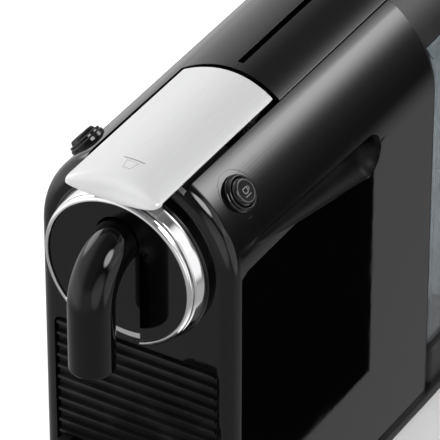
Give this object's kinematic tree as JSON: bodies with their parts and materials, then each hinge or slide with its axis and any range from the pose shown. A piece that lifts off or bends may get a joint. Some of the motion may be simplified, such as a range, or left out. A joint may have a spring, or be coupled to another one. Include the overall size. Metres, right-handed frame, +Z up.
{
  "type": "pod coffee machine",
  "caption": "Slim black pod coffee machine with a half-round roof, chrome-ringed face, curved spout, bright lever, fold-up cup support, drip unit and removable water tank.",
  "frame": {"origin": "on the table, under the middle of the machine's length and width", "axes": "+Z up, the front with the spout faces -Y, +X to the right as seen from in front"},
  "size_m": [0.124, 0.372, 0.277],
  "materials": {
    "gloss_black": "high gloss black ABS, mirror-like, with faint dust and wipe marks",
    "satin_black": "fine-grained satin black moulded plastic",
    "chrome_ring": "bright chrome plating, slightly handled",
    "lever_metal": "satin chrome plate with a fine lengthwise grain and polished edges",
    "button_black": "black cap with a softly polished rim",
    "button_inlay": "dark grey inlay with a printed cup symbol",
    "grey_nylon": "glass-filled grey nylon",
    "steel": "plain stainless steel",
    "rubber_black": "moulded black rubber",
    "seal_rubber": "silicone seal",
    "pump_metal": "zinc-plated steel",
    "cast_aluminium": "sand-textured cast aluminium",
    "white_nylon": "natural nylon",
    "tube_clear": "milky silicone tube",
    "board_green": "green circuit board lacquer",
    "socket_black": "black thermoset moulding",
    "brass_pins": "plated brass blades",
    "tank_smoke": "smoke-tinted clear tank plastic"
  },
  "bodies": {
    "machine": {"side_shell_left": "gloss_black", "side_shell_right": "gloss_black", "top_cover": "gloss_black", "back_panel": "satin_black", "chassis": "grey_nylon", "base_plate": "satin_black", "rubber_feet": "rubber_black", "head_collar": "satin_black", "face_ring": "chrome_ring", "face_disc": "gloss_black", "spout": "gloss_black", "spout_nozzle": "grey_nylon", "capsule_chute": "satin_black", "lever_bracket": "grey_nylon", "brew_head": "grey_nylon", "brew_rails": "steel", "pump": "pump_metal", "pump_mounts": "rubber_black", "thermoblock": "cast_aluminium", "flow_meter": "white_nylon", "suction_tube": "tube_clear", "pump_tube": "tube_clear", "pressure_tube": "tube_clear", "brew_tube": "tube_clear", "circuit_board": "board_green", "inlet_socket": "socket_black", "inlet_pins": "brass_pins", "tank_dock": "satin_black", "dock_seal": "seal_rubber", "button_bezel_left": "satin_black", "button_bezel_right": "satin_black", "button_switches": "board_green", "shell_screws": "steel"},
    "lever": {"lever": "lever_metal", "lever_arms": "grey_nylon", "lever_pin": "steel"},
    "carriage": {"capsule_cage": "grey_nylon", "piercing_plate": "steel"},
    "links": {"toggle_links": "steel"},
    "left_button": {"button_left": "button_black", "button_inlay_left": "button_inlay"},
    "right_button": {"button_right": "button_black", "button_inlay_right": "button_inlay"},
    "drip_unit": {"drip_tray": "satin_black", "capsule_container": "satin_black", "front_grille": "satin_black", "cup_support_pin": "steel"},
    "grid": {"drip_grid": "steel"},
    "cup_shelf": {"cup_support": "satin_black"},
    "tank": {"water_tank": "tank_smoke", "tank_valve": "socket_black", "tank_lid_pin": "steel"},
    "lid": {"tank_lid": "satin_black"}
  },
  "joints": [
    {"name": "lever_hinge", "type": "hinge", "parent": "machine", "child": "lever", "pos_m": [0, 0.003, 0.265], "axis": [-1, 0, 0], "range_deg": [0, 90]},
    {"name": "carriage_slide", "type": "slide", "parent": "machine", "child": "carriage", "axis": [0, 1, 0], "range_m": [0, 0.021]},
    {"name": "link_pivot", "type": "hinge", "parent": "carriage", "child": "links", "pos_m": [0, -0.0584, 0.227], "axis": [1, 0, 0], "range_deg": [0, 27.6]},
    {"name": "left_button_press", "type": "slide", "parent": "machine", "child": "left_button", "axis": [0.766, 0, -0.6428], "range_m": [0, 0.0015], "stiffness_N_per_m": 300, "springref_m": -0.0015},
    {"name": "right_button_press", "type": "slide", "parent": "machine", "child": "right_button", "axis": [-0.766, 0, -0.6428], "range_m": [0, 0.0015], "stiffness_N_per_m": 300, "springref_m": -0.0015},
    {"name": "drip_unit_slide", "type": "slide", "parent": "machine", "child": "drip_unit", "axis": [0, -1, 0], "range_m": [0, 0.11]},
    {"name": "grid_lift", "type": "slide", "parent": "drip_unit", "child": "grid", "axis": [0, 0, 1], "range_m": [0, 0.018]},
    {"name": "cup_support_hinge", "type": "hinge", "parent": "drip_unit", "child": "cup_shelf", "pos_m": [0, -0.094, 0.075], "axis": [-1, 0, 0], "range_deg": [0, 88]},
    {"name": "tank_lift", "type": "slide", "parent": "machine", "child": "tank", "axis": [0, 0, 1], "range_m": [0, 0.12]},
    {"name": "lid_hinge", "type": "hinge", "parent": "tank", "child": "lid", "pos_m": [0, 0.1818, 0.2446], "axis": [-1, 0, 0], "range_deg": [0, 100]}
  ],
  "couplings": [
    {"joint": "carriage_slide", "follows": "lever_hinge", "m_per_rad": 0.013347},
    {"joint": "link_pivot", "follows": "lever_hinge", "ratio": 0.30446}
  ]
}
